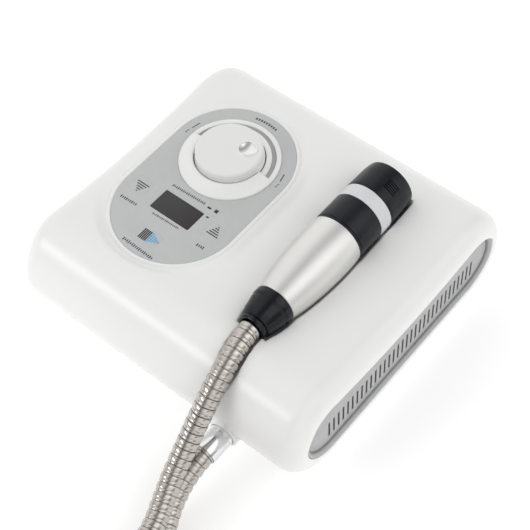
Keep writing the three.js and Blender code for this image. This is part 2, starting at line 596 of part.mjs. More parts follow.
// ---------------------------------------------------------------- hose
function buildHose() {
  const at = (shape) => shape.translate([SOCKET_X, 0, SOCKET_Z])
  const flange = [[8.4, -92.4], [8.4, -109.3], [9.6, -109.3], [10.1, -108.8], [10.1, -92.4]]
  add('socket_flange', at(turnedY(flange, 26)), whiteGloss)
  add('socket_nut', at(cut(turnedY(rod(10.6, -92.1, -87), 6), turnedY(rod(8.4, -100, -80), 20))), steel)
  const bore = HOSE_DIAMETER / 2 + 0.5
  const ferrule = [
    [5.4, -86], [5.4, -110], [bore, -110], [bore, -126.2], [FERRULE_RADIUS, -126.2], [FERRULE_RADIUS, -86],
  ]
  add('hose_ferrule', at(turnedY(ferrule, 24)), chrome)
  add('hose_run_handpiece', tube(HOSE_FROM_HANDPIECE, HOSE_DIAMETER, 40), steel)
  add('hose_run_socket', tube(HOSE_FROM_SOCKET, HOSE_DIAMETER, 28), steel)
  const [inner, outer] = [COIL_RADIUS - HOSE_DIAMETER / 2, COIL_RADIUS + HOSE_DIAMETER / 2]
  const coil = turnedZ(pipe(inner, outer, 0, 2 * HOSE_DIAMETER + 1), 40)
  add('hose_coil', coil.translate([...COIL_CENTRE, 0]), steel)
}

buildCasing()
buildVentPanel('vent_panel_right', 1)
buildVentPanel('vent_panel_left', -1)
buildControlPanel()
buildDial()
buildElectronics()
buildRearInlet()
buildHandpiece()
buildHose()

export default unit
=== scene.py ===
import math

import bmesh
import bpy
import numpy as np
from mathutils import Matrix, Vector


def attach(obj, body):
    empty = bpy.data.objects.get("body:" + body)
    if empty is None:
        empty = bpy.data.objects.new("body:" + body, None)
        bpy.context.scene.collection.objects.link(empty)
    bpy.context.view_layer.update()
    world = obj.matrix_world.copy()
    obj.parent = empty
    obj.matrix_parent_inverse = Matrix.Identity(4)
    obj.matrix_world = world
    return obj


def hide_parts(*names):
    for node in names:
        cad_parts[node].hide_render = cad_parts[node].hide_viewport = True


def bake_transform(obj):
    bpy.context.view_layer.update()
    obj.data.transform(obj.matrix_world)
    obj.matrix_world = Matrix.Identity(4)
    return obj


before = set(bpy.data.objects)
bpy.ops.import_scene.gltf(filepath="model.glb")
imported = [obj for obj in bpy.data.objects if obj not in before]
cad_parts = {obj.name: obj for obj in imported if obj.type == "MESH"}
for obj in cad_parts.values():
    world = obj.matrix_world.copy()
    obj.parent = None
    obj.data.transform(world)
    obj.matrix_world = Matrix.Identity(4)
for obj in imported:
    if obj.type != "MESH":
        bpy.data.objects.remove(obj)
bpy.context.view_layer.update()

MM = 0.001

# ------------------------------------------------------------------ camera
CAMERA_AT = Vector((344.98, -371.98, 747.51)) * MM
CAMERA_LOOKS = Vector((-0.39268, 0.42542, -0.81537)).normalized()
CAMERA_ROLL = math.radians(-4.06)
CAMERA_LENS = 92.0


def make_camera():
    data = bpy.data.cameras.new("camera")
    data.lens, data.sensor_width, data.sensor_fit = CAMERA_LENS, 36.0, "HORIZONTAL"
    data.shift_x, data.shift_y = -0.0004, -0.0086
    data.clip_start, data.clip_end = 0.05, 20.0
    camera = bpy.data.objects.new("camera", data)
    right = CAMERA_LOOKS.cross(Vector((0, 0, 1))).normalized()
    up = right.cross(CAMERA_LOOKS)
    c, s = math.cos(CAMERA_ROLL), math.sin(CAMERA_ROLL)
    right, up = right * c + up * s, up * c - right * s
    turn = Matrix((right, up, -CAMERA_LOOKS)).transposed()
    camera.matrix_world = Matrix.Translation(CAMERA_AT) @ turn.to_4x4()
    bpy.context.scene.collection.objects.link(camera)
    bpy.context.scene.camera = camera


make_camera()
bpy.context.scene.view_settings.view_transform = "Standard"


# ------------------------------------------------------------------ materials
class Look:
    """A Principled material with helpers that add procedural detail in object space."""

    def __init__(self, name, colour, roughness, metallic=0.0, **extra):
        self.material = bpy.data.materials.new(name)
        self.material.use_nodes = True
        self.tree = self.material.node_tree
        self.shader = self.tree.nodes["Principled BSDF"]
        self.set("Base Color", (*colour, 1.0))
        self.set("Roughness", roughness)
        self.set("Metallic", metallic)
        for key, value in extra.items():
            self.set(key.replace("_", " "), value)
        self.colour, self.roughness = colour, roughness

    def set(self, socket, value):
        self.shader.inputs[socket].default_value = value

    def node(self, kind, **values):
        node = self.tree.nodes.new(kind)
        for key, value in values.items():
            if key in node.inputs:
                node.inputs[key].default_value = value
            else:
                setattr(node, key, value)
        return node

    def link(self, a, b):
        self.tree.links.new(a, b)

    def noise(self, scale):
        coords = self.node("ShaderNodeTexCoord")
        noise = self.node("ShaderNodeTexNoise", Scale=scale, Detail=3.0)
        self.link(coords.outputs["Object"], noise.inputs["Vector"])
        return noise.outputs["Fac"]

    def mottle(self, scale, dark, light):
        """Colour that wanders a little between two multiples of the base colour."""
        ramp = self.node("ShaderNodeValToRGB")
        ramp.color_ramp.elements[0].position, ramp.color_ramp.elements[1].position = 0.3, 0.7
        for element, factor in zip(ramp.color_ramp.elements, (dark, light)):
            element.color = (*[min(1.0, c * factor) for c in self.colour], 1.0)
        self.link(self.noise(scale), ramp.inputs["Fac"])
        self.link(ramp.outputs["Color"], self.shader.inputs["Base Color"])
        return self

    def smudge(self, scale, spread):
        """Roughness that wanders round the base value."""
        ranged = self.node("ShaderNodeMapRange")
        ranged.inputs["From Min"].default_value, ranged.inputs["From Max"].default_value = 0.3, 0.7
        ranged.inputs["To Min"].default_value = max(0.02, self.roughness - spread)
        ranged.inputs["To Max"].default_value = self.roughness + spread
        self.link(self.noise(scale), ranged.inputs["Value"])
        self.link(ranged.outputs["Result"], self.shader.inputs["Roughness"])
        return self

    def grain(self, scale, strength, distance=0.0002):
        """Fine relief."""
        bump = self.node("ShaderNodeBump", Strength=strength, Distance=distance)
        self.link(self.noise(scale), bump.inputs["Height"])
        self.link(bump.outputs["Normal"], self.shader.inputs["Normal"])
        return self

    def done(self):
        return self.material


def make_materials():
    m = {}
    white = Look("white_abs", (0.86, 0.86, 0.85), 0.3, Coat_Weight=0.1, Coat_Roughness=0.12)
    m["white"] = white.mottle(9, 0.99, 1.0).smudge(60, 0.02).grain(700, 0.008).done()
    knob = Look("knob_abs", (0.81, 0.81, 0.8), 0.36)
    m["knob"] = knob.mottle(30, 0.985, 1.0).smudge(120, 0.04).grain(1800, 0.04, distance=0.0001).done()
    film = Look("membrane_film", (0.53, 0.537, 0.54), 0.45, Specular_IOR_Level=0.35)
    m["film"] = film.mottle(300, 0.985, 1.012).smudge(150, 0.03).grain(5200, 0.1, distance=0.00005).done()
    tray = Look("vent_grey", (0.44, 0.44, 0.445), 0.5)
    m["tray"] = tray.mottle(120, 0.95, 1.03).smudge(90, 0.05).grain(2600, 0.2, distance=0.0001).done()
    black = Look("black_pom", (0.008, 0.009, 0.012), 0.3, Specular_IOR_Level=0.24)
    m["black"] = black.mottle(80, 0.8, 1.3).smudge(140, 0.06).grain(2400, 0.08, distance=0.0001).done()
    gloss = Look("gloss_black", (0.005, 0.0055, 0.008), 0.16, Specular_IOR_Level=0.28)
    m["gloss"] = gloss.mottle(80, 0.8, 1.3).smudge(140, 0.03).grain(1200, 0.01, distance=0.0001).done()
    # painted shade: a darker grey for the step inside the vent rim, standing in for the shade that falls
    # there
    painted_shade_ring = Look("painted_shade_grey", (0.24, 0.24, 0.245), 0.6)
    m["painted_shade_ring"] = painted_shade_ring.mottle(120, 0.9, 1.08).smudge(90, 0.05).grain(2600, 0.2, distance=0.0001).done()
    dark = Look("dark_plastic", (0.03, 0.031, 0.033), 0.5)
    m["dark"] = dark.mottle(80, 0.8, 1.2).smudge(100, 0.06).grain(2200, 0.2, distance=0.0001).done()
    satin = Look("satin_barrel", (0.73, 0.725, 0.705), 0.42, metallic=0.9)
    m["satin"] = satin.mottle(14, 0.985, 1.0).smudge(400, 0.02).grain(2600, 0.05, distance=0.00005).done()
    polished = Look("polished_cup", (0.8, 0.8, 0.79), 0.16, metallic=0.8)
    m["polished"] = polished.mottle(60, 0.97, 1.0).smudge(240, 0.03).grain(900, 0.02).done()
    chrome = Look("chrome", (0.78, 0.78, 0.79), 0.09, metallic=1.0)
    m["chrome"] = chrome.mottle(60, 0.95, 1.0).smudge(240, 0.04).grain(900, 0.02).done()
    hose = Look("hose_steel", (0.52, 0.487, 0.455), 0.2, metallic=1.0)
    m["hose"] = hose.mottle(160, 0.93, 1.03).smudge(420, 0.04).grain(900, 0.03, distance=0.0001).done()
    steel = Look("zinc_steel", (0.5, 0.5, 0.49), 0.35, metallic=1.0)
    m["steel"] = steel.mottle(200, 0.9, 1.05).smudge(300, 0.08).grain(1200, 0.1, distance=0.0001).done()
    rubber = Look("foot_rubber", (0.02, 0.02, 0.02), 0.75)
    m["rubber"] = rubber.mottle(60, 0.8, 1.3).smudge(80, 0.08).grain(1600, 0.4).done()
    lens = Look("smoked_lens", (0.024, 0.021, 0.022), 0.3)
    m["lens"] = lens.mottle(40, 0.85, 1.15).smudge(120, 0.02).grain(1500, 0.01).done()
    smoke = Look("smoked_scale", (0.36, 0.36, 0.365), 0.25, Coat_Weight=0.3, Coat_Roughness=0.1)
    m["smoke"] = smoke.mottle(60, 0.9, 1.1).smudge(120, 0.03).grain(1500, 0.02).done()
    frost = Look("frosted_ring", (0.68, 0.69, 0.70), 0.4, Subsurface_Weight=0.1, Subsurface_Scale=0.003)
    m["frost"] = frost.mottle(120, 0.96, 1.02).smudge(200, 0.04).grain(2400, 0.08, distance=0.0001).done()
    board = Look("board_green", (0.02, 0.12, 0.06), 0.45)
    m["board"] = board.mottle(500, 0.7, 1.3).smudge(200, 0.06).grain(1800, 0.3, distance=0.0001).done()
    legend = Look("ink_grey", (0.05, 0.05, 0.053), 0.5)
    m["legend"] = legend.mottle(900, 0.8, 1.25).smudge(400, 0.06).done()
    ink = Look("ink_black", (0.02, 0.02, 0.022), 0.5)
    m["ink"] = ink.mottle(900, 0.7, 1.4).smudge(400, 0.06).done()
    blue = Look("ink_blue", (0.13, 0.4, 0.62), 0.45)
    m["blue"] = blue.mottle(900, 0.9, 1.1).smudge(400, 0.06).done()
    return m


MAT = make_materials()


# ------------------------------------------------------------------ mesh tools
def mesh_object(name, points, faces, material, sharp=38):
    """A mesh piece from points in millimetres, smooth except at edges sharper than the angle."""
    mesh = bpy.data.meshes.new(name)
    mesh.from_pydata((np.asarray(points, float) * MM).tolist(), [], [list(map(int, f)) for f in faces])
    mesh.polygons.foreach_set("use_smooth", [True] * len(mesh.polygons))
    mesh.update()
    tidy = bmesh.new()
    tidy.from_mesh(mesh)
    bmesh.ops.remove_doubles(tidy, verts=tidy.verts, dist=2e-7)
    bmesh.ops.dissolve_degenerate(tidy, edges=tidy.edges, dist=1e-7)
    bmesh.ops.recalc_face_normals(tidy, faces=tidy.faces)
    tidy.to_mesh(mesh)
    tidy.free()
    mesh.set_sharp_from_angle(angle=math.radians(sharp))
    mesh.materials.append(material)
    piece = bpy.data.objects.new(name, mesh)
    bpy.context.scene.collection.objects.link(piece)
    return piece


def place(piece, body, slot, *replaced):
    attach(piece, body)
    if replaced:
        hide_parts(*replaced)
    return piece


def grid_faces(rows, cols, wrap_rows=False, wrap_cols=False):
    """The quads of a grid of points, which may close on itself either way."""
    last_row = rows if wrap_rows else rows - 1
    last_col = cols if wrap_cols else cols - 1
    r, c = np.meshgrid(np.arange(last_row), np.arange(last_col), indexing="ij")
    r2, c2 = (r + 1) % rows, (c + 1) % cols
    quads = np.stack([r * cols + c, r * cols + c2, r2 * cols + c2, r2 * cols + c], -1)
    return quads.reshape(-1, 4)


def rounded(points, radii, steps=4, closed=False):
    """A polyline with its corners rounded: radii is one number or one per point."""
    points = [np.array(p, float) for p in points]
    if np.isscalar(radii):
        radii = [radii] * len(points)
    out = []
    n = len(points)
    for i, (p, r) in enumerate(zip(points, radii)):
        if r <= 0 or (not closed and i in (0, n - 1)):
            out.append(p)
            continue
        a, b = points[i - 1] - p, points[(i + 1) % n] - p
        la, lb = np.linalg.norm(a), np.linalg.norm(b)
        a, b = a / la, b / lb
        half = math.acos(float(np.clip(a @ b, -1, 1))) / 2
        if half > math.radians(88):
            out.append(p)
            continue
        back = min(r / math.tan(half), 0.48 * la, 0.48 * lb)
        for k in range(steps + 1):
            t = k / steps
            out.append(p + a * back * (1 - t) ** 2 + b * back * t**2)
    return out


def catmull(points, spacing):
    """Centripetal Catmull-Rom through the points, resampled evenly. Returns the points and the length."""
    p = np.array(points, float)
    p = np.vstack([2 * p[0] - p[1], p, 2 * p[-1] - p[-2]])
    fine = []
    for i in range(1, len(p) - 2):
        p0, p1, p2, p3 = p[i - 1 : i + 3]
        t0 = 0.0
        t1 = t0 + np.linalg.norm(p1 - p0) ** 0.5
        t2 = t1 + np.linalg.norm(p2 - p1) ** 0.5
        t3 = t2 + np.linalg.norm(p3 - p2) ** 0.5
        for t in np.linspace(t1, t2, 24, endpoint=False):
            a1 = (t1 - t) / (t1 - t0) * p0 + (t - t0) / (t1 - t0) * p1
            a2 = (t2 - t) / (t2 - t1) * p1 + (t - t1) / (t2 - t1) * p2
            a3 = (t3 - t) / (t3 - t2) * p2 + (t - t2) / (t3 - t2) * p3
            b1 = (t2 - t) / (t2 - t0) * a1 + (t - t0) / (t2 - t0) * a2
            b2 = (t3 - t) / (t3 - t1) * a2 + (t - t1) / (t3 - t1) * a3
            fine.append((t2 - t) / (t2 - t1) * b1 + (t - t1) / (t2 - t1) * b2)
    fine.append(p[-2])
    fine = np.array(fine)
    along = np.concatenate([[0], np.cumsum(np.linalg.norm(np.diff(fine, axis=0), axis=1))])
    count = max(2, int(round(along[-1] / spacing)) + 1)
    stations = np.linspace(0, along[-1], count)
    even = np.stack([np.interp(stations, along, fine[:, k]) for k in range(3)], 1)
    return even, along[-1]


def lathe(name, profile, origin, axis, material, segments=72, closed=False):
    """A solid of revolution from (radius, distance along axis) points."""
    profile = np.array(profile, float)
    angle = np.arange(segments) / segments * 2 * math.pi
    r, h = profile[:, 0][:, None], profile[:, 1][:, None]
    u, v = r * np.cos(angle), r * np.sin(angle)
    w = np.broadcast_to(h, u.shape)
    parts = {"X": (w, u, v), "Y": (u, w, v), "Z": (u, v, w)}[axis]
    points = np.stack(parts, -1).reshape(-1, 3) + np.array(origin, float)
    faces = grid_faces(len(profile), segments, wrap_rows=closed, wrap_cols=True)
    return mesh_object(name, points, faces, material)


def plate(name, outlines, low, high, bevel, material, basis=None):
    """A flat piece between two heights with bevelled edges; the first outline is the outside."""
    curve = bpy.data.curves.new(name, "CURVE")
    curve.dimensions, curve.fill_mode = "2D", "BOTH"
    curve.bevel_depth, curve.bevel_resolution = bevel * MM, 2
    curve.extrude = ((high - low) / 2 - bevel) * MM
    curve.offset = -bevel * MM
    for outline in outlines:
        spline = curve.splines.new("POLY")
        spline.points.add(len(outline) - 1)
        for point, (x, y) in zip(spline.points, outline):
            point.co = (x * MM, y * MM, 0, 1)
        spline.use_cyclic_u = True
    holder = bpy.data.objects.new(name + "_curve", curve)
    bpy.context.scene.collection.objects.link(holder)
    bpy.context.view_layer.update()
    mesh = bpy.data.meshes.new_from_object(holder.evaluated_get(bpy.context.evaluated_depsgraph_get()))
    bpy.data.objects.remove(holder)
    mesh.transform(Matrix.Translation((0, 0, (low + high) / 2 * MM)))
    if basis is not None:
        mesh.transform(basis)
    tidy = bmesh.new()
    tidy.from_mesh(mesh)
    bmesh.ops.remove_doubles(tidy, verts=tidy.verts, dist=1e-6)
    bmesh.ops.recalc_face_normals(tidy, faces=tidy.faces)
    tidy.to_mesh(mesh)
    tidy.free()
    mesh.polygons.foreach_set("use_smooth", [True] * len(mesh.polygons))
    mesh.set_sharp_from_angle(angle=math.radians(30))
    mesh.materials.clear()
    mesh.materials.append(material)
    mesh.name = name
    piece = bpy.data.objects.new(name, mesh)
    bpy.context.scene.collection.objects.link(piece)
    return piece


def arc(x, y, radius, start, end, steps):
    angles = np.radians(np.linspace(start, end, steps + 1))
    return [(x + radius * math.cos(a), y + radius * math.sin(a)) for a in angles]


def stadium(x, low_y, high_y, radius, steps=48):
    return arc(x, high_y, radius, 0, 180, steps) + arc(x, low_y, radius, 180, 360, steps)


def round_rect(x, y, width, depth, radius, steps=5):
    w, d = width / 2 - radius, depth / 2 - radius
    out = []
    for k, (sx, sy) in enumerate(((1, 1), (-1, 1), (-1, -1), (1, -1))):
        out += arc(x + sx * w, y + sy * d, radius, 90 * k, 90 * k + 90, steps)
    return out


def ring_sector(x, y, inner, outer, start, end, steps=60):
    return arc(x, y, outer, start, end, steps) + arc(x, y, inner, end, start, steps)


def bezier(p0, p1, p2, p3, steps):
    t = np.linspace(0, 1, steps + 1)[:, None]
    p0, p1, p2, p3 = (np.array(p, float) for p in (p0, p1, p2, p3))
    return (1 - t) ** 3 * p0 + 3 * (1 - t) ** 2 * t * p1 + 3 * (1 - t) * t**2 * p2 + t**3 * p3


def resampled(line, count):
    """Points evenly spaced along a line that ends where it starts."""
    step = np.linalg.norm(np.diff(line, axis=0), axis=1)
    line = line[np.concatenate([[True], step > 1e-6])]
    along = np.concatenate([[0], np.cumsum(np.linalg.norm(np.diff(line, axis=0), axis=1))])
    s = np.linspace(0, along[-1], count, endpoint=False)
    return np.stack([np.interp(s, along, line[:, 0]), np.interp(s, along, line[:, 1])], 1)


def outward(outline):
    """Unit normals of a closed, counter-clockwise outline."""
    tangent = np.roll(outline, -1, 0) - np.roll(outline, 1, 0)
    tangent /= np.linalg.norm(tangent, axis=1)[:, None]
    return np.stack([tangent[:, 1], -tangent[:, 0]], 1)


def inset(outline, distance):
    outline = np.array(outline)
    return outline - outward(outline) * distance


def smooth_step(x):
    x = np.clip(x, 0, 1)
    return x * x * (3 - 2 * x)


def smooth_max(a, b, k):
    h = np.clip(k - np.abs(a - b), 0, None) / k
    return np.maximum(a, b) + h * h * k / 4


# ------------------------------------------------------------------ hose
HOSE_FROM_HANDPIECE = [
    (47.4, -65.8, 79), (48.2, -75, 78.8), (49.3, -84, 77.4), (50.4, -92.7, 74.7), (51.2, -101, 70.7),
    (51.7, -108.5, 65.5), (51.9, -115.3, 59.3), (51.9, -121.8, 52.7), (52.1, -128.4, 46.3),
    (52.7, -135.4, 40.4), (53.8, -143, 35.4), (55.3, -151.1, 31.4), (57.6, -159.1, 28.1),
    (60.3, -167.1, 25.3), (63.1, -175.3, 23.2), (65.2, -183.8, 22), (66, -192.6, 21.4),
    (65.6, -201.5, 21), (63.8, -210.2, 21), (60.7, -218.5, 21), (56.4, -226.3, 21.2),
    (51.2, -233.5, 21.4), (46, -240.7, 21.5), (41.3, -248.3, 21.6),
]
HOSE_FROM_SOCKET = [
    (57.5, -111, 24), (57.5, -119, 24), (57.5, -127, 23.6), (57.4, -134.8, 22), (57.3, -142.7, 19.1),
    (57.9, -150.3, 15.6), (59.6, -158.1, 12.5), (62.3, -165.8, 9.9), (66, -173.3, 8.2), (70.5, -180.5, 7.3),
    (76, -187.1, 7.1), (82.3, -192.9, 7.1), (89.3, -197.8, 7.1), (96.8, -201.9, 7.1), (104.7, -205.4, 7.1),
    (112.7, -208.6, 7.1), (120.7, -211.7, 7.1), (128.7, -214.8, 7.1),
]
COIL_CENTRE = (106.16, -286.89)
COIL_RADIUS = 74
COIL_START = 66  # degrees, where the run from the socket joins
COIL_TURN = 630  # degrees
COIL_Z = 7.1  # lower turn, and the second one lies on it
COIL_RISE = 14.5
COIL_RISE_FROM, COIL_RISE_OVER = 270, 90
HOSE_SIDES = 28
STRIP_PITCH = 5.9
# one turn of the interlocked strip: share of the pitch and radius
STRIP = [
    (0.0, 5.9), (0.02, 6.6), (0.05, 6.95), (0.09, 7.05), (0.3, 7.1), (0.53, 7.08), (0.57, 7.0),
    (0.6, 6.85), (0.61, 6.62), (0.63, 6.62), (0.66, 6.74), (0.78, 6.78), (0.9, 6.74), (0.935, 6.6),
    (0.955, 6.3), (0.965, 5.9),
]


def hose_route():
    """Handpiece to coil, round the coil and back to the socket."""
    coil = []
    for k in range(14, COIL_TURN - 6, 15):
        a = math.radians(COIL_START - k)
        z = COIL_Z + COIL_RISE * smooth_step((k - COIL_RISE_FROM) / COIL_RISE_OVER)
        x, y = COIL_RADIUS * math.cos(a), COIL_RADIUS * math.sin(a)
        coil.append((COIL_CENTRE[0] + x, COIL_CENTRE[1] + y, z))
    return HOSE_FROM_HANDPIECE + coil[::-1] + HOSE_FROM_SOCKET[::-1]


def frames_along(path):
    """Tangent and two cross directions at each point, without twist."""
    tangent = np.gradient(path, axis=0)
    tangent /= np.linalg.norm(tangent, axis=1)[:, None]
    side = np.cross(tangent[0], (0, 0, 1.0))
    side /= np.linalg.norm(side)
    sides = []
    for t in tangent:
        side = side - t * (side @ t)
        side /= np.linalg.norm(side)
        sides.append(side)
    sides = np.array(sides)
    return tangent, sides, np.cross(tangent, sides)


def make_hose():
    path, length = catmull(hose_route(), 1.0)
    along = np.linspace(0, length, len(path))
    turns = int((length - 1) / STRIP_PITCH)
    shares, profile = np.array(STRIP).T
    stations = ((np.arange(turns)[:, None] + shares) * STRIP_PITCH).ravel()
    radii = np.tile(profile, turns)
    centre = np.stack([np.interp(stations, along, path[:, k]) for k in range(3)], 1)
    _, u, v = frames_along(path)
    u, v = (np.stack([np.interp(stations, along, d[:, k]) for k in range(3)], 1) for d in (u, v))
    angle = (np.arange(HOSE_SIDES) / HOSE_SIDES * 2 * math.pi)[None, :, None]
    spoke = np.cos(angle) * u[:, None, :] + np.sin(angle) * v[:, None, :]
    points = (centre[:, None, :] + radii[:, None, None] * spoke).reshape(-1, 3)
    faces = grid_faces(len(stations), HOSE_SIDES, wrap_cols=True).tolist()
    faces.append(list(range(HOSE_SIDES)))
    faces.append([(len(stations) - 1) * HOSE_SIDES + k for k in range(HOSE_SIDES)])
    hose = mesh_object("armoured_hose", points, faces, MAT["hose"], sharp=60)
    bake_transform(hose)
    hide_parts("hose_run_handpiece", "hose_run_socket", "hose_coil")


make_hose()


# ------------------------------------------------------------------ casing
WIDTH, DEPTH = 225.0, 219.0
SIDE, BACK = WIDTH / 2, DEPTH / 2
EDGE_RADIUS = 13.0
FOOT = 3.0  # height of the underside over the table
SPLIT_Z = 13.0  # parting line of the two shells
SPLIT_GAP = 0.3
WALL = 2.6
TOP_FRONT_Y, TOP_BACK_Y = -72.0, 66.3  # the dished top's ends
FRONT_CENTRE = (-70.3, 42.2)  # of the round at the foot of the front, in (y, z)
FRONT_RADIUS = 39.2
OPENING_RADIUS = 24.4
OPENING_DROP = 12.9  # from the top to the side opening's upper edge
OPENING_LOW_Z = 17.8
OPENING_DEPTH = 6.0
OPENING_LIP = 0.7
RECESS_Y = 104.0  # floor of the rear recess
RECESS = (-81, -11, 20, 52)  # x from, x to, z from, z to
INLET_HOLE = (-74, -32, 25, 47)
SWITCH_HOLE = (-27, -13, 25.5, 46.5)
SCREW_X, SCREW_Y = 96, 66
PANEL_X, PANEL_LOW_Y, PANEL_HIGH_Y, PANEL_RADIUS = -48.15, -22.9, 27.5, 43.0
PANEL_FLAT_Z = 73.65  # the flat round the membrane, which fades into the dished top
PANEL_FLAT, PANEL_FADE = 2.5, 7.5
HAND_X, HAND_Z = 47.4, 79.0
CRADLE_OUTLINE = [
    (-65.6, 10.3), (-62, 11.1), (-58, 12.4), (-54, 13.2), (-50.2, 13.8), (-43, 14.2), (-34, 15.9),
    (-22, 17.4), (-10, 18.3), (2, 18.7), (14, 18.5), (30, 18.1), (50, 18.1), (68, 17.7), (71, 17.1),
]
CRADLE_STRETCH = 1.05  # wider across than down
CHANNEL_RADIUS = 8.1


def dish(y):
    """Height of the top."""
    return 71.6 + 5.76 * ((y - 10) / 80) ** 2


def front_foot(radius, steps):
    """The quarter round from the front down to the underside."""
    return np.array(arc(*FRONT_CENTRE, radius, 180, 270, steps))


def profile_curve(count):
    """The casing's outline in (y, z), closed, counter-clockwise from the middle of the bottom."""
    y = np.linspace(TOP_BACK_Y, TOP_FRONT_Y, 120)
    top = dish(y)
    return resampled(np.vstack([
        [[0, FOOT], [83.3, FOOT]],
        bezier((83.3, FOOT), (93.8, FOOT), (BACK, 20.3), (BACK, 35.5), 60),
        bezier((BACK, 35.5), (BACK, 56.3), (95.2, top[0] + 2.9), (TOP_BACK_Y, top[0]), 80),
        np.stack([y, top], 1),
        bezier((TOP_FRONT_Y, top[-1]), (-99.5, 81.7), (-BACK, 45.2), (-BACK, 42.2), 80),
        front_foot(FRONT_RADIUS, 59),
        [[FRONT_CENTRE[0], FOOT], [0, FOOT]],
    ]), count)


def opening_outline(count):
    """Side opening in (y, z), closed, counter-clockwise."""
    front_y, back_y = FRONT_CENTRE[0], 77.3
    y = np.linspace(back_y, front_y, 60)
    top = dish(y) - OPENING_DROP
    return resampled(np.vstack([
        bezier((68, OPENING_LOW_Z), (82, OPENING_LOW_Z), (94.6, 26), (94.6, 39), 30),
        bezier((94.6, 39), (94.6, 53.4), (88, top[0]), (back_y, top[0]), 24),
        np.stack([y, top], 1),
        bezier((front_y, top[-1]), (-88, top[-1]), (-94.7, 54), (-94.7, 42.2), 30),
        front_foot(OPENING_RADIUS, 29),
        [[front_y, OPENING_LOW_Z], [68, OPENING_LOW_Z]],
    ]), count)


CHANNEL_PATH = catmull([(HAND_X, -60, HAND_Z)] + HOSE_FROM_HANDPIECE[1:9], 2.0)[0]


def cradle_distance(p):
    """Signed distance to the cradle's hollow: the handpiece's trough joined to the hose channel."""
    y = p[..., 1]
    radius = np.interp(y, [a for a, _ in CRADLE_OUTLINE], [r for _, r in CRADLE_OUTLINE]) + 0.5
    across = np.hypot((p[..., 0] - HAND_X) / CRADLE_STRETCH, p[..., 2] - HAND_Z)
    trough = smooth_max(across - radius, np.maximum(-66.1 - y, y - 71.5), 0.6)
    flat = p.reshape(-1, 3)
    gap = np.full(len(flat), 1e9)
    for q in CHANNEL_PATH:
        gap = np.minimum(gap, np.linalg.norm(flat - q, axis=1))
    channel = gap.reshape(y.shape) - CHANNEL_RADIUS
    return -smooth_max(-trough, -channel, 1.0)


def carve(points, normals, reach=27.0, steps=110, k=0.9):
    """How far each surface point sinks along its normal so that it clears the cradle."""
    t = np.linspace(0, reach, steps)
    inside = np.zeros((len(points), steps))
    for i, depth in enumerate(t):
        inside[:, i] = smooth_max(np.full(len(points), -depth), -cradle_distance(points - normals * depth), k)
    positive = inside > 1e-6
    last = np.where(positive.any(1), steps - 1 - np.argmax(positive[:, ::-1], axis=1), 0)
    rows = np.arange(len(points))
    nxt = np.minimum(last + 1, steps - 1)
    a, b = inside[rows, last], inside[rows, nxt]
    share = np.where(np.abs(a - b) > 1e-9, a / (a - b + 1e-12), 0)
    return np.where(positive.any(1), t[last] + np.clip(share, 0, 1) * (t[nxt] - t[last]), 0)


def membrane_distance(x, y):
    cy = np.clip(y, PANEL_LOW_Y, PANEL_HIGH_Y)
    return np.hypot(x - PANEL_X, y - cy) - PANEL_RADIUS


def shape_casing(points, normals):
    """The swept form with its cradle, panel seat and rear recess."""
    near = (np.abs(points[:, 0] - HAND_X) < 30) & (points[:, 2] > 30) & (points[:, 1] < 80)
    depth = np.zeros(len(points))
    depth[near] = carve(points[near], normals[near])
    out = points - normals * depth[:, None]
    top = (points[:, 2] > 66) & (normals[:, 2] > 0.6)
    d = membrane_distance(points[:, 0], points[:, 1]) - PANEL_FLAT
    target = PANEL_FLAT_Z - np.clip(-d / 1.5, 0, 1) * 0.6
    sink = (target - points[:, 2]) * smooth_step(1 - d / PANEL_FADE)
    out[:, 2] = np.where(top & (d < PANEL_FADE), out[:, 2] + sink, out[:, 2])
    rear = in_window(points, RECESS) & (points[:, 1] > RECESS_Y)
    out[rear, 1] = RECESS_Y
    return out


def in_window(points, window):
    x0, x1, z0, z1 = window
    x, z = points[:, 0], points[:, 2]
    return (x > x0) & (x < x1) & (z > z0) & (z < z1)


def x_lines():
    """Where the casing's rings stand along X: close together over the cradle and at the recess's sides."""
    lines = list(np.arange(-99.5, -82, 2.5)) + [-82.2, -81.3, -80.7]
    lines += list(np.arange(-79, -12.0, 2.0)) + [-11.3, -10.7]
    lines += list(np.arange(-9, 18, 2.0)) + list(np.arange(18.5, 76, 0.9)) + list(np.arange(77, 99.4, 2.8))
    return sorted(set(round(v, 3) for v in lines if v < 99.4)) + [99.5]


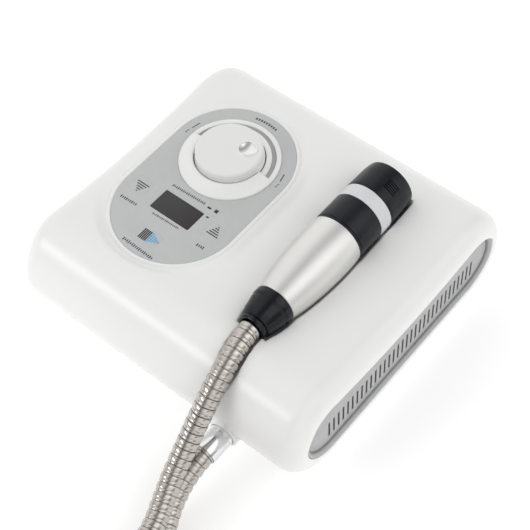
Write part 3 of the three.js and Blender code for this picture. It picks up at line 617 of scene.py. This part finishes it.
def casing_grid():
    """Rings of points from the left opening over the casing to the right opening."""
    count = 400
    outline = profile_curve(count)
    normal = outward(outline)
    turns = np.radians([90, 80, 70, 60, 50, 40, 30, 20, 10])
    stations = [(-(SIDE - EDGE_RADIUS) - EDGE_RADIUS * math.sin(t), t, -1) for t in turns]
    stations += [(x, 0.0, 0) for x in x_lines()]
    stations += [(SIDE - EDGE_RADIUS + EDGE_RADIUS * math.sin(t), t, 1) for t in turns[::-1]]
    points, normals = [], []
    for x, t, side in stations:
        ring = outline - normal * EDGE_RADIUS * (1 - math.cos(t))
        points.append(np.column_stack([np.full(count, x), ring]))
        normals.append(np.column_stack([np.full(count, side * math.sin(t)), normal * math.cos(t)]))
    points, normals = np.array(points), np.array(normals)
    shaped = shape_casing(points.reshape(-1, 3), normals.reshape(-1, 3)).reshape(points.shape)
    opening = opening_outline(720)
    centre = np.array([0.0, 40.0])
    angle = np.arctan2(opening[:, 1] - centre[1], opening[:, 0] - centre[0])
    order = np.argsort(angle)
    angle, opening = angle[order], opening[order]
    edge = points[-1][:, 1:]
    at = np.arctan2(edge[:, 1] - centre[1], edge[:, 0] - centre[0])
    inner = np.stack([np.interp(at, angle, opening[:, k], period=2 * math.pi) for k in range(2)], 1)
    away = edge - inner
    reach = np.linalg.norm(away, axis=1)[:, None]
    away = away / np.maximum(reach, 1e-6)
    lip = np.minimum(OPENING_LIP, 0.6 * reach)
    loops = [(SIDE, edge + (inner + away * lip - edge) * share) for share in (0.35, 0.7)]
    for a in np.radians([0, 30, 60, 90]):
        loops.append((SIDE - OPENING_LIP * (1 - math.cos(a)), inner + away * lip * (1 - math.sin(a))))
    loops.append((SIDE - OPENING_DEPTH, inner))
    left = [np.column_stack([np.full(count, -x), ring]) for x, ring in loops[::-1]]
    right = [np.column_stack([np.full(count, x), ring]) for x, ring in loops]
    return np.concatenate([left, shaped, right])


def make_casing():
    grid = casing_grid()
    rows, cols = grid.shape[:2]
    faces = grid_faces(rows, cols, wrap_cols=True)
    flat = grid.reshape(-1, 3)
    middle = flat[faces].mean(1)
    # open behind the inlet and the switch and under the membrane; the flat underside is its own piece
    drop = (middle[:, 1] > 100) & (in_window(middle, INLET_HOLE) | in_window(middle, SWITCH_HOLE))
    drop |= (middle[:, 2] > 66) & (membrane_distance(middle[:, 0], middle[:, 1]) < 0.5)
    under = (middle[:, 2] < FOOT + 0.01) & (np.abs(middle[:, 0]) < SIDE - EDGE_RADIUS)
    low_y, high_y = (f(flat[faces[under].ravel(), 1]) for f in (np.min, np.max))
    whole = mesh_object("casing_whole", flat, faces[~(drop | under)], MAT["white"], sharp=50)
    for name, keep_above in (("casing_top", True), ("casing_base", False)):
        z = SPLIT_Z + (SPLIT_GAP / 2 if keep_above else -SPLIT_GAP / 2)
        mesh = whole.data.copy()
        bm = bmesh.new()
        bm.from_mesh(mesh)
        geometry = bm.verts[:] + bm.edges[:] + bm.faces[:]
        bmesh.ops.bisect_plane(bm, geom=geometry, plane_co=(0, 0, z * MM), plane_no=(0, 0, 1),
                               clear_inner=keep_above, clear_outer=not keep_above)
        rim = [e for e in bm.edges if e.is_boundary
               and all(abs(v.co.z - z * MM) < 1e-6 for v in e.verts)]
        # the shell's edge turns inwards by the wall
        made = bmesh.ops.extrude_edge_only(bm, edges=rim)
        for v in made["geom"]:
            if isinstance(v, bmesh.types.BMVert):
                v.co.x -= math.copysign(WALL * MM, v.co.x) * min(1.0, abs(v.co.x) / 0.1)
                v.co.y -= math.copysign(WALL * MM, v.co.y) * min(1.0, abs(v.co.y) / 0.08)
        bm.to_mesh(mesh)
        bm.free()
        mesh.set_sharp_from_angle(angle=math.radians(40))
        piece = bpy.data.objects.new(name, mesh)
        bpy.context.scene.collection.objects.link(piece)
        place(piece, "housing", "white_gloss", "top_shell" if keep_above else "base_shell")
    bpy.data.objects.remove(whole)
    across = np.linspace(EDGE_RADIUS - SIDE, SIDE - EDGE_RADIUS, 9)
    outline = [(x, low_y) for x in across] + [(x, high_y) for x in across[::-1]]
    screws = [(x, y) for y in (-SCREW_Y, SCREW_Y) for x in (-SCREW_X, SCREW_X)]
    holes = [arc(x, y, 3.4, 0, 350, 35) for x, y in screws]
    bottom = plate("casing_underside", [outline] + holes, FOOT, FOOT + 1.2, 0.05, MAT["white"])
    place(bottom, "housing", "white_gloss")
    for k, (x, y) in enumerate(screws):
        well = lathe(f"screw_well_{k + 1}", [(3.45, FOOT + 0.6), (3.45, 6.5), (0.4, 6.5)], (x, y, 0), "Z",
                     MAT["white"], 36)
        place(well, "housing", "white_gloss")


make_casing()


# ------------------------------------------------------------------ vented sides
SLOT_COUNT, SLOT_FIRST_Y, SLOT_PITCH = 33, -71.35, 4.583
SLOT_Z, SLOT_WIDTH, SLOT_HEIGHT = 34.4, 1.8, 15.7


def side_basis(side):
    """Takes (u, v, w) to (w, u, v) with w outward: u along Y, v up."""
    return Matrix(((0, 0, side, 0), (1, 0, 0, 0), (0, 1, 0, 0), (0, 0, 0, 1)))


def make_vents():
    outline = opening_outline(300)
    slots = [round_rect(SLOT_FIRST_Y + SLOT_PITCH * i, SLOT_Z, SLOT_WIDTH, SLOT_HEIGHT, 0.5, 3)
             for i in range(SLOT_COUNT)]
    # loops of (distance in from the opening's edge, x)
    rim = [(0.35, 107.4), (0.35, 111.9), (0.5, 112.15), (0.8, 112.2), (1.3, 112.1), (2.3, 111.1),
           (2.6, 110.7), (2.65, 110.4), (2.65, 107.4)]
    # a dark grey ring on the step inside the rim paints the shade that falls on that step
    painted_shade_ring = [(2.75, 109.0), (2.75, 110.45), (3.1, 110.45), (3.5, 110.1), (3.6, 109.0)]
    for side, tag in ((1, "right"), (-1, "left")):
        floor = plate(f"vent_tray_{tag}", [inset(outline, 2.75)] + slots, 108.9, 109.4, 0.1, MAT["tray"],
                      basis=side_basis(side))
        place(floor, "housing", "grey_panel", f"vent_panel_{tag}")
        # a dark sheet behind the slots paints the shade inside them
        shade_sheet = plate(f"vent_filter_{tag}", [inset(outline, 4)], 108.0, 108.8, 0.1, MAT["dark"],
                       basis=side_basis(side))
        place(shade_sheet, "housing", "dark_plastic")
        for name, loops, look in (("rim", rim, "tray"), ("painted_shade_ring", painted_shade_ring, "painted_shade_ring")):
            rings = [np.column_stack([np.full(len(outline), side * x), inset(outline, d)]) for d, x in loops]
            faces = grid_faces(len(loops), len(outline), wrap_rows=True, wrap_cols=True)
            ring = mesh_object(f"vent_{name}_{tag}", np.concatenate(rings), faces, MAT[look])
            place(ring, "housing", "grey_panel")


make_vents()


# ------------------------------------------------------------------ control panel
DIAL_X, DIAL_Y = -48.0, 27.2
BEZEL_RADIUS = 33.4
DIAL_TOP = 84.5
CUP_AT = (9.7, 7.4)  # finger cup, from the dial's axis
CUP_HOLE = 6.2
FILM_TOP = 74.1
# x, y, width and depth
DISPLAY = (-48.0, -24.45, 31.6, 16.3)
KEYS = {"down": (-79, -23.3, 13, 12), "up": (-17.6, -23.8, 13, 12), "start": (-47.4, -51, 15.8, 11),
        "pulse": (-30.6, -11.2, 12, 6)}


def make_panel():
    outline = stadium(PANEL_X, PANEL_LOW_Y, PANEL_HIGH_Y, PANEL_RADIUS)
    ring = np.array(outline)
    # loops of (distance out from the membrane's edge, z)
    lip = [(0.1, 72.8), (0.1, 74.0), (0.3, 74.3), (0.8, 74.5), (1.5, 74.5), (2.1, 74.3), (2.6, 73.9),
           (3.2, 73.3), (3.2, 72.4)]
    loops = [np.column_stack([inset(ring, -d), np.full(len(ring), z)]) for d, z in lip]
    faces = grid_faces(len(lip), len(ring), wrap_rows=True, wrap_cols=True)
    bead = mesh_object("panel_lip", np.concatenate(loops), faces, MAT["white"], sharp=60)
    place(bead, "housing", "white_gloss")
    hole = arc(DIAL_X, DIAL_Y, BEZEL_RADIUS + 0.15, 0, 354, 59)
    window = round_rect(DISPLAY[0], DISPLAY[1], DISPLAY[2] + 0.2, DISPLAY[3] + 0.2, 0.9)
    pads = [round_rect(x, y, w + 0.06, d + 0.06, 2.03) for x, y, w, d in KEYS.values()]
    carrier = plate("membrane_carrier", [outline, hole, window], 73.1, 73.4, 0.05, MAT["film"])
    place(carrier, "housing", "membrane")
    film = plate("membrane_film", [outline, hole, window] + pads, 73.4, FILM_TOP, 0.02, MAT["film"])
    place(film, "housing", "membrane", "membrane_panel")
    for name, (x, y, w, d) in KEYS.items():
        pad = plate(f"pad_{name}", [round_rect(x, y, w, d, 2.0)], 73.82, FILM_TOP, 0.02, MAT["film"])
        place(pad, f"key_{name}", "membrane", f"key_{name}")
    lens = plate("display_lens", [round_rect(*DISPLAY, 0.8)], 72.3, 74.15, 0.12, MAT["lens"])
    place(lens, "housing", "smoked_lens", "display_window")


def bar(x, y, width, depth, turn=0.0):
    """A rectangle's corners, turned by degrees about its middle."""
    c, s = math.cos(math.radians(turn)), math.sin(math.radians(turn))
    w, d = width / 2, depth / 2
    return [(x + u * c - v * s, y + u * s + v * c) for u, v in ((-w, -d), (w, -d), (w, d), (-w, d))]


def blocks(x, y, count, pitch, height, turn):
    """A row of small upright strokes, tall and short by turns."""
    c, s = math.cos(math.radians(turn)), math.sin(math.radians(turn))
    out = []
    for k in range(count):
        u = (k - (count - 1) / 2) * pitch
        size = height * (1.0, 0.66, 0.84)[k % 3]
        out.append(bar(x + u * c, y + u * s, 0.52 * pitch, size, turn))
    return out


def print_on(name, outlines, material, body):
    """Ink: a thin raised layer made of separate flat shapes."""
    z = FILM_TOP
    points, faces = [], []
    for outline in outlines:
        n, first = len(outline), len(points)
        points += [(x, y, z) for x, y in outline] + [(x, y, z + 0.05) for x, y in outline]
        faces.append([first + i for i in range(n)][::-1])
        faces.append([first + n + i for i in range(n)])
        for i in range(n):
            j = (i + 1) % n
            faces.append([first + i, first + j, first + n + j, first + n + i])
    piece = mesh_object(name, points, faces, material, sharp=20)
    place(piece, body, "frosted" if material is MAT["blue"] else "black_plastic")


def make_prints():
    x, y = -79.0, -24.8
    down = [bar(x, y + 3.2 - 1.75 * k, 9.8 - 2.2 * k, 0.75) for k in range(4)] + [bar(x, y - 3.7, 1.0, 0.75)]
    print_on("print_down", down, MAT["ink"], "key_down")
    x, y = -17.9, -22.4
    up = [bar(x, y - 3.4 + 1.75 * k, 9.0 - 2.0 * k, 0.75) for k in range(4)] + [bar(x, y + 3.4, 1.0, 0.75)]
    print_on("print_up", up, MAT["ink"], "key_up")
    y = -51.0
    print_on("print_start", [bar(-53.5 + 1.25 * k, y, 0.9, 8.2) for k in range(5)], MAT["ink"], "key_start")
    ticks = [bar(-47.0 + 1.65 * k, y, 1.1, 8.0 - 1.6 * k) for k in range(5)]
    print_on("print_play", ticks, MAT["blue"], "key_start")
    pulse = [bar(-27.4, -10.4, 2.5, 2.5), bar(-32.8, -10.9, 2.9, 1.3)]
    print_on("print_pulse", pulse, MAT["ink"], "key_pulse")
    # rows of plain strokes stand where a unit of this kind has its legends
    legends = blocks(-77.6, -37.4, 9, 1.5, 2.3, 2) + blocks(-17.8, -37.1, 4, 1.5, 2.3, 2)
    legends += blocks(-50.2, -10.6, 19, 1.4, 2.0, 2) + blocks(-48.1, -35.3, 17, 1.25, 1.5, 2)
    legends += blocks(-47.6, -61.7, 17, 1.5, 2.3, -2) + [bar(-29.0, -17.2, 2.0, 1.2)]
    for k in range(9):
        turn = 102.5 - 3.0 * k
        a = math.radians(turn)
        legends.append(bar(DIAL_X + 38.1 * math.cos(a), DIAL_Y + 38.1 * math.sin(a), 1.2, 1.7, turn - 90))
    for angle in (13, 167):
        a = math.radians(angle)
        legends.append(bar(DIAL_X + 37.4 * math.cos(a), DIAL_Y + 37.4 * math.sin(a), 0.7, 6.4, angle))
    legends += blocks(-86.0, 28.7, 3, 1.2, 1.2, 90) + blocks(-10.3, 28.8, 3, 1.2, 1.2, 90)
    print_on("print_legends", legends, MAT["legend"], "housing")


def make_bezel():
    """A domed ring whose back half has a groove for the scale, so two profiles share the radii."""
    radii = np.array([33.4, 33.4, 33.3, 33.0, 32.4, 31.4, 30.55, 30.3, 30.1, 30.0, 28.6,
                      27.3, 27.1, 26.9, 26.6, 25.6, 24.6, 24.1, 23.75, 23.55, 23.5, 23.5])
    dome = np.array([73.2, 74.7, 75.05, 75.35, 75.75, 76.3, 76.75, 76.88, 76.97, 77.02, 77.6,
                     78.1, 78.18, 78.25, 78.35, 78.65, 78.88, 78.92, 78.8, 78.5, 78.0, 73.6])
    cut = np.array([73.2, 74.7, 75.05, 75.3, 75.4, 75.4, 75.4, 75.3, 75.1, 73.6, 73.6,
                    73.6, 75.9, 76.1, 76.2, 76.2, 76.2, 76.2, 76.1, 75.9, 75.6, 73.6])
    first, last = 3.0, 177.0  # the groove's ends, in degrees
    columns = [float(a) for a in range(0, 360, 2)]
    for edge in (first, last):
        columns += [edge + d for d in (-1.2, -0.8, -0.4, 0.0, 0.4, 0.8, 1.2)]
    columns = np.array(sorted(set(columns)))
    inside = smooth_step((columns - first + 1.0) / 2.0) * (1 - smooth_step((columns - last + 1.0) / 2.0))
    angle = np.radians(columns)
    z = dome[:, None] * (1 - inside) + cut[:, None] * inside
    x = DIAL_X + radii[:, None] * np.cos(angle)
    y = DIAL_Y + radii[:, None] * np.sin(angle)
    points = np.stack([x, y, z], -1).reshape(-1, 3)
    faces = grid_faces(len(radii), len(columns), wrap_rows=True, wrap_cols=True)
    bezel = mesh_object("bezel_ring", points, faces, MAT["white"], sharp=45)
    place(bezel, "housing", "white_gloss", "dial_bezel")
    scale = plate("scale_window", [ring_sector(DIAL_X, DIAL_Y, 27.2, 29.95, 3.4, 176.6)], 73.3, 74.4, 0.1,
                  MAT["smoke"])
    place(scale, "housing", "smoked_lens", "scale_light_guide")


def make_knob():
    """Rings round the finger cup spread out into rings round the dial's axis."""
    top = DIAL_TOP + 0.02
    side = rounded([(19.0, top), (21.1, DIAL_TOP), (21.7, 84.1), (22.2, 83.2), (22.35, 79.3), (22.05, 79.1),
                    (22.05, 78.7), (22.45, 78.5), (22.5, 77.0), (22.9, 76.7), (22.9, 75.2), (20.6, 75.2)],
                   [0, 0.2, 0.35, 0.3, 0.1, 0.1, 0.1, 0.1, 0.15, 0.15, 0.2, 0], 4)
    rings = [(1.0, CUP_HOLE, top - 0.9), (1.0, CUP_HOLE, top)]
    rings += [(1 - t, CUP_HOLE * (1 - t) + 19.0 * t, top) for t in np.linspace(0.06, 0.94, 16)]
    rings += [(0.0, r, z) for r, z in side]
    share, radius, height = np.array(rings).T[:, :, None]
    a = np.arange(120) / 120 * 2 * math.pi
    x = DIAL_X + CUP_AT[0] * share + radius * np.cos(a)
    y = DIAL_Y + CUP_AT[1] * share + radius * np.sin(a)
    points = np.stack([x, y, np.broadcast_to(height, x.shape)], -1).reshape(-1, 3)
    faces = grid_faces(len(rings), 120, wrap_cols=True)
    knob = mesh_object("knob_body", points, faces, MAT["knob"], sharp=40)
    place(knob, "dial", "white_gloss", "dial_knob")
    cup = [(5.7 * k / 12, 1.7 * ((k / 12) ** 2 - 1)) for k in range(13)]
    cup += [(5.9, 0.1), (6.15, 0.16), (6.4, 0.14), (6.6, 0.05), (6.62, -0.4)]
    cup_at = (DIAL_X + CUP_AT[0], DIAL_Y + CUP_AT[1], 0)
    dimple = lathe("knob_dimple", [(r, DIAL_TOP + h) for r, h in cup], cup_at, "Z", MAT["polished"], 72)
    place(dimple, "dial", "satin_metal")


make_panel()
make_prints()
make_bezel()
make_knob()


# ------------------------------------------------------------------ handpiece and socket
def make_handpiece():
    at = (HAND_X, 0, HAND_Z)
    cap = rounded([(7.4, -60), (7.4, -65.5), (8.9, -65.5), (9.6, -64.6), (9.5, -63.0), (9.1, -62.5),
                   (10.4, -62.1), (10.9, -61.0), (11.8, -58), (12.6, -54),
                   (13.4, -50.7), (13.1, -50.3), (13.1, -49.5), (13.5, -49.0), (13.9, -47.6), (13.95, -44.0),
                   (13.5, -43.6), (11.0, -43.6), (11.0, -50), (7.4, -60)],
                  [0, 0.2, 0.6, 0.6, 0.3, 0.2, 0.3, 0.6, 3, 3, 0.3, 0.2, 0.2, 0.3, 0.5, 0.3, 0.2, 0, 0, 0])
    place(lathe("hand_cap", cap, at, "Y", MAT["gloss"], 96), "handpiece", "black_plastic", "handpiece_cap")
    barrel = rounded([(12.3, -30), (12.3, -43.35), (13.5, -43.35), (13.95, -43.0), (14.5, -40), (15.7, -34),
                      (16.6, -28), (17.3, -22), (17.85, -16), (18.3, -10), (18.55, -4), (18.65, 2), (18.6, 8),
                      (18.35, 13), (18.15, 15.6), (17.8, 16.0), (16.6, 16.0), (16.6, 6)],
                     [0, 0, 0.2, 0.3, 4, 4, 4, 4, 4, 4, 4, 4, 4, 2, 0.25, 0.2, 0, 0], 3)
    place(lathe("hand_barrel", barrel, at, "Y", MAT["satin"], 96), "handpiece", "satin_metal",
          "handpiece_barrel")
    rim = rounded([(16.4, 16.15), (17.75, 16.15), (17.95, 17.0), (17.9, 17.75), (16.4, 17.75)], 0.2, 3,
                  closed=True)
    place(lathe("hand_rim", rim, at, "Y", MAT["black"], 96, closed=True), "handpiece", "black_plastic",
          "handpiece_rim")
    band = rounded([(16.2, 17.95), (18.1, 17.95), (18.1, 37.6), (16.2, 37.6)], 0.3, 4, closed=True)
    place(lathe("hand_band", band, at, "Y", MAT["black"], 96, closed=True), "handpiece", "black_plastic",
          "handpiece_band")
    ring = rounded([(16.2, 37.75), (18.0, 37.75), (18.0, 47.7), (16.2, 47.7)], 0.3, 4, closed=True)
    place(lathe("hand_light_ring", ring, at, "Y", MAT["frost"], 96, closed=True), "handpiece", "frosted",
          "light_ring")
    make_head()
    plate_profile = rounded([(0, 70.8), (13.6, 70.8), (14.4, 70.95), (15.2, 70.6), (15.2, 68.9), (0, 68.9)],
                            [0, 1, 0.3, 0.3, 0, 0])
    place(lathe("hand_plate", plate_profile, at, "Y", MAT["chrome"]), "handpiece", "chrome",
          "treatment_plate")


def make_head():
    """Vented end: rings of vertices, pushed in at a patch of fine slits on the upper right."""
    first, pitch, count = 55.4, 1.57, 5  # slits along the axis
    middle, half_width, slit_depth = 57, 14, 0.9  # degrees round it, and how deep
    outline = [(47.85, 17.8), (48.0, 18.0), (48.3, 18.12), (51.0, 18.15), (53.5, 18.15)]
    tail = [(64.0, 17.85), (66.0, 17.7), (69.2, 17.3), (70.2, 17.1), (70.7, 16.9), (70.9, 16.5)]
    slit_rows = []
    for k in range(count):
        y = first + pitch * k
        slit_rows += [len(outline) + 1, len(outline) + 2]
        for d in (-0.36, -0.27, 0.27, 0.36):
            outline.append((y + d, np.interp(y + d, [53.5, 64.0], [18.15, 17.85])))
    outline += tail
    ys, radii = np.array([y for y, _ in outline]), np.array([r for _, r in outline])
    segments = 144
    angle = np.arange(segments) / segments * 2 * math.pi
    cut = np.zeros(len(ys))
    cut[slit_rows] = slit_depth
    off = np.abs((np.degrees(angle) - middle + 180) % 360 - 180)
    r = radii[:, None] - cut[:, None] * (off < half_width)[None, :]
    points = np.stack([r * np.cos(angle), np.broadcast_to(ys[:, None], r.shape), r * np.sin(angle)], -1)
    ends = [(15.8, 70.9), (15.8, 47.85)]
    extra = [np.stack([rr * np.cos(angle), np.full(segments, yy), rr * np.sin(angle)], -1) for rr, yy in ends]
    points = np.concatenate([points, np.array(extra)]).reshape(-1, 3) + np.array([HAND_X, 0, HAND_Z])
    head = mesh_object("hand_head", points, grid_faces(len(ys) + 2, segments, wrap_rows=True, wrap_cols=True),
                       MAT["black"], sharp=35)
    place(head, "handpiece", "black_plastic", "head_shell")


def make_socket():
    at = (57.5, 0, 24.0)
    sleeve = rounded([(7.45, -112), (7.45, -126.2), (8.05, -126.2), (8.1, -124.6), (8.1, -112.4),
                      (7.6, -112.2), (7.6, -111.6), (8.1, -111.4), (8.1, -86), (7.0, -86)],
                     [0, 0.2, 0.2, 0, 0.1, 0.1, 0.1, 0.1, 0, 0], 3)
    place(lathe("socket_sleeve", sleeve, at, "Y", MAT["chrome"], 64), "housing", "chrome", "hose_ferrule")
    collar = rounded([(8.35, -95), (8.35, -109.3), (9.4, -109.3), (10.1, -108.6), (10.1, -95)],
                     [0, 0.2, 0.5, 0.6, 0], 4)
    place(lathe("socket_collar", collar, at, "Y", MAT["white"], 64), "housing", "white_gloss",
          "socket_flange")


make_handpiece()
make_socket()

# ------------------------------------------------------------------ pieces kept from the CAD
KEPT = {
    "rubber": ["foot_1", "foot_2", "foot_3", "foot_4"],
    "steel": ["case_screw_1", "case_screw_2", "case_screw_3", "case_screw_4", "dial_potentiometer",
              "dial_shaft", "heat_sink", "socket_nut"],
    "black": ["power_inlet", "fuse_drawer", "switch_housing", "fan_frame", "handpiece_fan_frame",
              "key_switch_down", "key_switch_up", "key_switch_start", "key_switch_pulse"],
    "dark": ["rocker", "fan_rotor", "handpiece_fan_rotor", "display_module"],
    "board": ["control_board", "power_supply", "handpiece_board"],
    "frost": ["fuse", "cooling_module"],
}
for look, names in KEPT.items():
    for name in names:
        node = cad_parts[name]
        if not node.material_slots:
            node.data.materials.append(MAT[look])
        for material_slot in node.material_slots:
            material_slot.material = MAT[look]
        bevel = node.modifiers.new("edge", "BEVEL")
        bevel.width, bevel.segments, bevel.limit_method = 0.0003, 2, "ANGLE"


# ------------------------------------------------------------------ floor and light
def make_floor():
    half, n = 6000, 24
    xs = np.linspace(-half, half, n)
    points = [(x, y, -0.05) for y in xs for x in xs]
    look = Look("floor_white", (0.9, 0.9, 0.9), 0.6, Emission_Strength=0.3).mottle(3, 0.99, 1.0)
    look.set("Emission Color", (1, 1, 1, 1))
    floor = mesh_object("floor", points, grid_faces(n, n), look.smudge(5, 0.05).done())


def soft_light(name, at, aim, size, power):
    data = bpy.data.lights.new(name, "AREA")
    data.shape, data.size, data.size_y = "RECTANGLE", size[0], size[1]
    data.energy = power
    lamp = bpy.data.objects.new(name, data)
    lamp.location = at
    lamp.rotation_euler = (Vector(aim) - Vector(at)).to_track_quat("-Z", "Y").to_euler()
    bpy.context.scene.collection.objects.link(lamp)


def make_light():
    world = bpy.data.worlds.new("studio")
    bpy.context.scene.world = world
    world.use_nodes = True
    tree = world.node_tree
    background = tree.nodes["Background"]
    # a pale studio seen in polished parts as bands from left to right: grey, dark, bright, dark
    coords = tree.nodes.new("ShaderNodeTexCoord")
    split = tree.nodes.new("ShaderNodeSeparateXYZ")
    ranged = tree.nodes.new("ShaderNodeMapRange")
    ranged.inputs["From Min"].default_value, ranged.inputs["From Max"].default_value = -1, 1
    ramp = tree.nodes.new("ShaderNodeValToRGB")
    stops = [(0.0, 0.66), (0.3, 0.66), (0.42, 0.36), (0.52, 0.18), (0.6, 0.22), (0.72, 0.6), (0.84, 0.7),
             (0.92, 0.66), (0.965, 0.3), (1.0, 0.25)]
    elements = ramp.color_ramp.elements
    while len(elements) < len(stops):
        elements.new(0.5)
    for element, (position, grey) in zip(elements, stops):
        element.position, element.color = position, (grey, grey, grey, 1)
    tree.links.new(coords.outputs["Generated"], split.inputs["Vector"])
    tree.links.new(split.outputs["X"], ranged.inputs["Value"])
    tree.links.new(ranged.outputs["Result"], ramp.inputs["Fac"])
    tree.links.new(ramp.outputs["Color"], background.inputs["Color"])
    # and less light from the front left
    facing = tree.nodes.new("ShaderNodeVectorMath")
    facing.operation = "DOT_PRODUCT"
    facing.inputs[1].default_value = (-0.707, -0.707, 0)
    level = tree.nodes.new("ShaderNodeMapRange")
    for key, value in (("From Min", 0.5), ("From Max", 0.85), ("To Min", 1.7), ("To Max", 1.0)):
        level.inputs[key].default_value = value
    tree.links.new(coords.outputs["Generated"], facing.inputs[0])
    tree.links.new(facing.outputs["Value"], level.inputs["Value"])
    tree.links.new(level.outputs["Result"], background.inputs["Strength"])
    target = (0, 0, 0.05)
    soft_light("key", (0.9, 0.34, 1.2), target, (1.2, 1.2), 2)
    soft_light("front", (-0.66, -1.2, 0.66), target, (0.8, 0.34), 4)


make_floor()
make_light()
